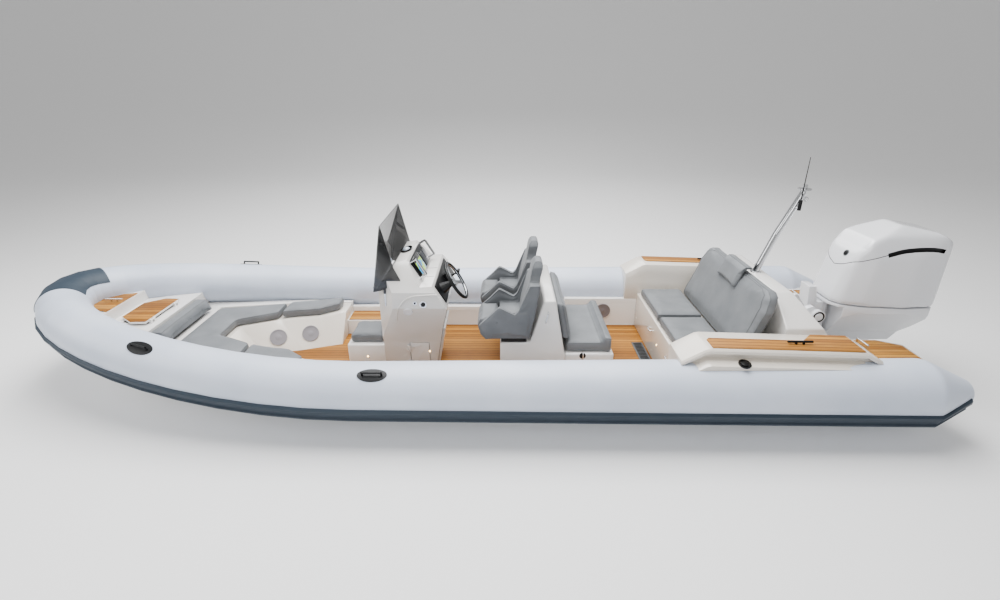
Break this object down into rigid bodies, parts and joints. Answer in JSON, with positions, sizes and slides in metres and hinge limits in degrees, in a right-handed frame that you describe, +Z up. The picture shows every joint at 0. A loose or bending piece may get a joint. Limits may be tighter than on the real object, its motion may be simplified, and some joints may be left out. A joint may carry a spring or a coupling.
{
  "type": "rigid inflatable boat with outboard motor",
  "caption": "Open rigid inflatable boat with side console, twin helm seats, aft bench, teak decking and a white outboard motor.",
  "frame": {"origin": "on the centreline, amidships, at the waterline when afloat", "axes": "+X forward to the bow, +Y to port, +Z up"},
  "size_m": [8.5806, 2.8504, 2.867],
  "materials": {
    "hull_gelcoat": "gloss gelcoat",
    "liner_gelcoat": "gloss gelcoat",
    "bow_gelcoat": "gloss gelcoat",
    "bow_seat_gelcoat": "gloss gelcoat",
    "console_gelcoat": "gloss gelcoat",
    "door_gelcoat": "gloss gelcoat",
    "front_seat_gelcoat": "gloss gelcoat",
    "module_gelcoat": "gloss gelcoat",
    "aft_seat_gelcoat": "gloss gelcoat",
    "bench_gelcoat": "gloss gelcoat",
    "arm_gelcoat": "gloss gelcoat",
    "stern_gelcoat": "gloss gelcoat",
    "platform_gelcoat": "gloss gelcoat",
    "tube_fabric": "smooth coated fabric",
    "strake_rubber": "satin",
    "patch_fabric": "coated fabric",
    "sole_teak": "oiled, dark caulking",
    "hatch_teak": "oiled, dark caulking",
    "footrest_teak": "oiled slats",
    "trim_teak": "oiled, dark caulking",
    "floor_hatch_black": "satin black",
    "speaker_grey": "grey grille",
    "fitting_chrome": "polished stainless steel",
    "handle_rubber": "moulded",
    "cushion_fabric": "matt marine vinyl",
    "seat_fabric": "matt marine vinyl",
    "screen_glass": "tinted acrylic",
    "dash_gloss": "gloss black",
    "plotter_gloss": "lit display",
    "wheel_black": "satin black rim",
    "column_black": "satin black",
    "throttle_black": "satin black",
    "rail_chrome": "polished",
    "mast_steel": "polished stainless steel",
    "slide_black": "satin black",
    "clamp_paint": "gloss white",
    "swivel_paint": "gloss white",
    "leg_paint": "gloss white",
    "cowl_paint": "gloss white",
    "engine_paint": "dark grey",
    "propeller_steel": "polished stainless steel"
  },
  "bodies": {
    "boat": {"hull": "hull_gelcoat", "deck_liner": "liner_gelcoat", "bow_deck": "bow_gelcoat", "bow_seat_moulding": "bow_seat_gelcoat", "console": "console_gelcoat", "front_seat_moulding": "front_seat_gelcoat", "helm_module": "module_gelcoat", "aft_seat_moulding": "aft_seat_gelcoat", "bench_moulding": "bench_gelcoat", "arm_port": "arm_gelcoat", "arm_starboard": "arm_gelcoat", "stern_moulding": "stern_gelcoat", "platform_port": "platform_gelcoat", "platform_starboard": "platform_gelcoat", "tube_port": "tube_fabric", "tube_starboard": "tube_fabric", "tube_bow": "tube_fabric", "rub_strake": "strake_rubber", "bow_patch": "patch_fabric", "teak_sole": "sole_teak", "footrest": "footrest_teak", "teak_trim": "trim_teak", "floor_hatch": "floor_hatch_black", "bench_pillow": "cushion_fabric", "speakers": "speaker_grey", "mast_fittings": "fitting_chrome", "deck_fittings": "fitting_chrome", "tube_handles": "handle_rubber", "bow_cushion_port": "cushion_fabric", "bow_cushion_starboard": "cushion_fabric", "bow_cushion_front": "cushion_fabric", "bow_backrest": "cushion_fabric", "front_seat_cushion": "cushion_fabric", "helm_seat_port": "seat_fabric", "helm_seat_starboard": "seat_fabric", "aft_seat_cushion": "cushion_fabric", "aft_seat_backrest": "cushion_fabric", "bench_cushion_port": "cushion_fabric", "bench_cushion_starboard": "cushion_fabric", "bench_backrest": "cushion_fabric", "windscreen": "screen_glass", "dashboard": "dash_gloss", "plotter": "plotter_gloss", "steering_column": "column_black", "throttle": "throttle_black", "console_rails": "rail_chrome", "mast": "mast_steel", "seat_slides": "slide_black", "motor_clamp": "clamp_paint"},
    "wheel": {"steering_wheel": "wheel_black"},
    "door": {"console_door": "door_gelcoat"},
    "hatch": {"bow_hatch": "hatch_teak"},
    "bolster_port_body": {"bolster_port": "seat_fabric"},
    "bolster_starboard_body": {"bolster_starboard": "seat_fabric"},
    "tilting_bracket": {"swivel_bracket": "swivel_paint"},
    "motor": {"motor_leg": "leg_paint", "motor_cowl": "cowl_paint", "engine_block": "engine_paint"},
    "prop": {"propeller": "propeller_steel"}
  },
  "joints": [
    {"name": "steering", "type": "hinge", "parent": "boat", "child": "wheel", "pos_m": [0.09594, 0.244, 1.02438], "axis": [-0.8535, 0, 0.5211], "range_deg": [-540, 540]},
    {"name": "console_door_hinge", "type": "hinge", "parent": "boat", "child": "door", "pos_m": [0.5575, 0.28551, 0.24953], "axis": [0, 0.092, 0.9958], "range_deg": [-100, 0]},
    {"name": "bow_hatch_hinge", "type": "hinge", "parent": "boat", "child": "hatch", "pos_m": [3.044, 0, 0.598], "axis": [0, -1, 0], "range_deg": [0, 95]},
    {"name": "bolster_port_flip", "type": "hinge", "parent": "boat", "child": "bolster_port_body", "pos_m": [-0.282, 0.32, 0.742], "axis": [0, -1, 0], "range_deg": [0, 90]},
    {"name": "bolster_starboard_flip", "type": "hinge", "parent": "boat", "child": "bolster_starboard_body", "pos_m": [-0.282, -0.32, 0.742], "axis": [0, -1, 0], "range_deg": [0, 90]},
    {"name": "motor_tilt", "type": "hinge", "parent": "boat", "child": "tilting_bracket", "pos_m": [-3.346, 0, 0.649], "axis": [0, 1, 0], "range_deg": [0, 46]},
    {"name": "motor_steer", "type": "hinge", "parent": "tilting_bracket", "child": "motor", "pos_m": [-3.478, 0, 0.5], "axis": [0, 0, 1], "range_deg": [-30, 30]},
    {"name": "propeller_spin", "type": "hinge", "parent": "motor", "child": "prop", "pos_m": [-4.04, 0, -0.526], "axis": [1, 0, 0], "continuous": true}
  ]
}
